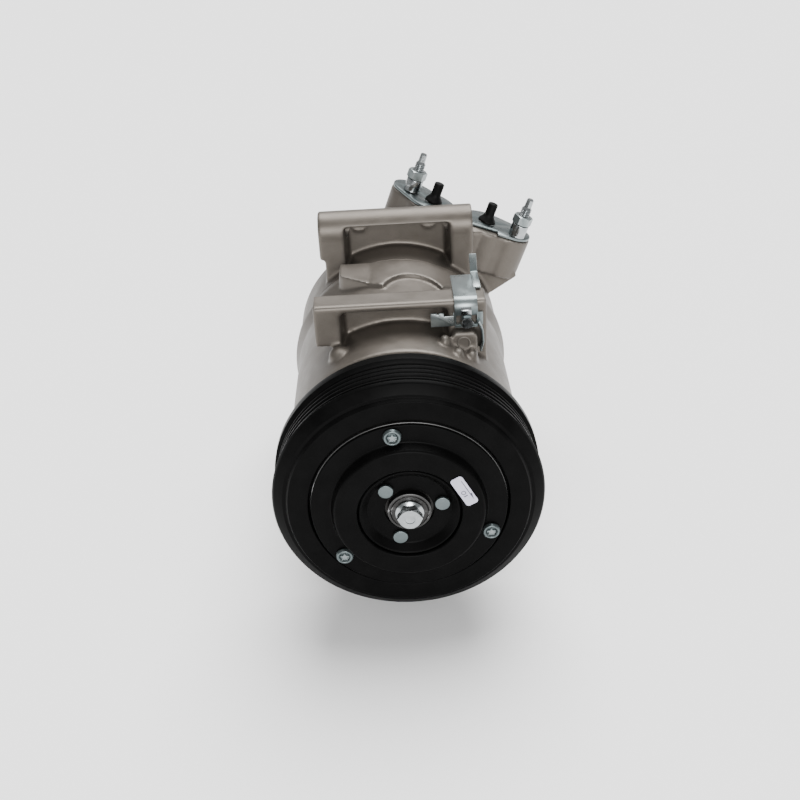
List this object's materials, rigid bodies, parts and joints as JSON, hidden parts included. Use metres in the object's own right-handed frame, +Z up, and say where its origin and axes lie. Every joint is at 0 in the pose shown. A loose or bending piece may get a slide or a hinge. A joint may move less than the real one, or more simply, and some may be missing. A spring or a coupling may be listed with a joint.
{
  "type": "electromagnetic clutch",
  "caption": "Belt-driven scroll air-conditioning compressor with an electromagnetic clutch and a grooved pulley, cast lugs, a bracket and a two-port manifold.",
  "frame": {"origin": "bottom centre of the bounding box, on the surface that the lower lugs stand on", "axes": "+Y along the shaft from the clutch face to the rear, +Z up through the upper lugs, +X to the right seen from the clutch"},
  "size_m": [0.1442, 0.2306, 0.1765],
  "materials": {
    "cast_alloy": "matt as-cast, warm grey",
    "black_coat": "satin black dip coat",
    "bearing_steel": "ground",
    "dark_steel": "phosphated",
    "zinc": "blue-grey zinc plate",
    "bright_steel": "bright plated",
    "copper_wire": "enamelled copper",
    "rubber_black": "matt moulded",
    "label_white": "printed film",
    "machined_alloy": "milled"
  },
  "bodies": {
    "housing": {"front_housing": "cast_alloy", "rear_housing": "cast_alloy", "coil_shell": "dark_steel", "nose_clip": "dark_steel", "reed_stop": "dark_steel", "pulley_bearing_inner_ring": "bearing_steel", "main_bearing_outer_ring": "bearing_steel", "coil_winding": "copper_wire", "connector_bracket": "zinc", "blanking_plate_left": "zinc", "blanking_plate_right": "zinc", "stud_nut_left": "zinc", "stud_nut_right": "zinc", "manifold_stud_left": "bright_steel", "manifold_stud_right": "bright_steel", "stud_sleeve_left": "bright_steel", "stud_sleeve_right": "bright_steel", "bracket_bolt": "bright_steel", "thrust_plate": "bright_steel", "discharge_reed": "bright_steel", "port_plug_left": "rubber_black", "port_plug_right": "rubber_black", "shaft_seal": "rubber_black", "housing_seal": "rubber_black", "fixed_scroll": "machined_alloy", "housing_bolt_1": "zinc", "housing_bolt_2": "zinc", "housing_bolt_3": "zinc", "housing_bolt_4": "zinc", "housing_bolt_5": "zinc", "anti_rotation_pin_1": "bearing_steel", "anti_rotation_pin_2": "bearing_steel", "anti_rotation_pin_3": "bearing_steel", "anti_rotation_pin_4": "bearing_steel"},
    "pulley": {"pulley_rotor": "black_coat", "pulley_bearing_outer_ring": "bearing_steel", "pulley_bearing_clip": "dark_steel"},
    "pulley_cage": {"pulley_bearing_balls": "bearing_steel"},
    "shaft": {"drive_shaft": "bearing_steel", "clutch_hub": "dark_steel", "inner_hub_plate": "black_coat", "inner_rivet_1": "zinc", "inner_rivet_2": "zinc", "inner_rivet_3": "zinc", "clutch_shim": "bright_steel", "clutch_bolt": "bright_steel", "main_bearing_inner_ring": "bearing_steel", "balance_bushing": "dark_steel"},
    "armature": {"armature_plate": "dark_steel", "clutch_front_plate": "black_coat", "rubber_damper": "rubber_black", "outer_rivet_1": "zinc", "outer_rivet_2": "zinc", "outer_rivet_3": "zinc", "rotation_label": "label_white"},
    "main_cage": {"main_bearing_balls": "bearing_steel"},
    "orbiter": {"orbiting_scroll": "machined_alloy", "orbit_bearing": "bearing_steel"}
  },
  "joints": [
    {"name": "pulley_spin", "type": "hinge", "parent": "housing", "child": "pulley", "pos_m": [-0.00883, -0.10515, 0.0748], "axis": [0, 1, 0], "continuous": true},
    {"name": "pulley_cage_spin", "type": "hinge", "parent": "housing", "child": "pulley_cage", "pos_m": [-0.00883, -0.10515, 0.0748], "axis": [0, 1, 0], "continuous": true},
    {"name": "shaft_spin", "type": "hinge", "parent": "housing", "child": "shaft", "pos_m": [-0.00883, -0.10515, 0.0748], "axis": [0, 1, 0], "continuous": true},
    {"name": "main_cage_spin", "type": "hinge", "parent": "housing", "child": "main_cage", "pos_m": [-0.00883, -0.10515, 0.0748], "axis": [0, 1, 0], "continuous": true},
    {"name": "armature_travel", "type": "slide", "parent": "shaft", "child": "armature", "axis": [0, 1, 0], "range_m": [0, 0.0005], "stiffness_N_per_m": 15000},
    {"name": "orbit_swivel", "type": "hinge", "parent": "shaft", "child": "orbiter", "pos_m": [-0.00501, -0.10515, 0.0748], "axis": [0, 1, 0], "continuous": true}
  ],
  "couplings": [
    {"joint": "pulley_cage_spin", "follows": "pulley_spin", "ratio": 0.54},
    {"joint": "main_cage_spin", "follows": "shaft_spin", "ratio": 0.41},
    {"joint": "orbit_swivel", "follows": "shaft_spin", "ratio": -1}
  ]
}
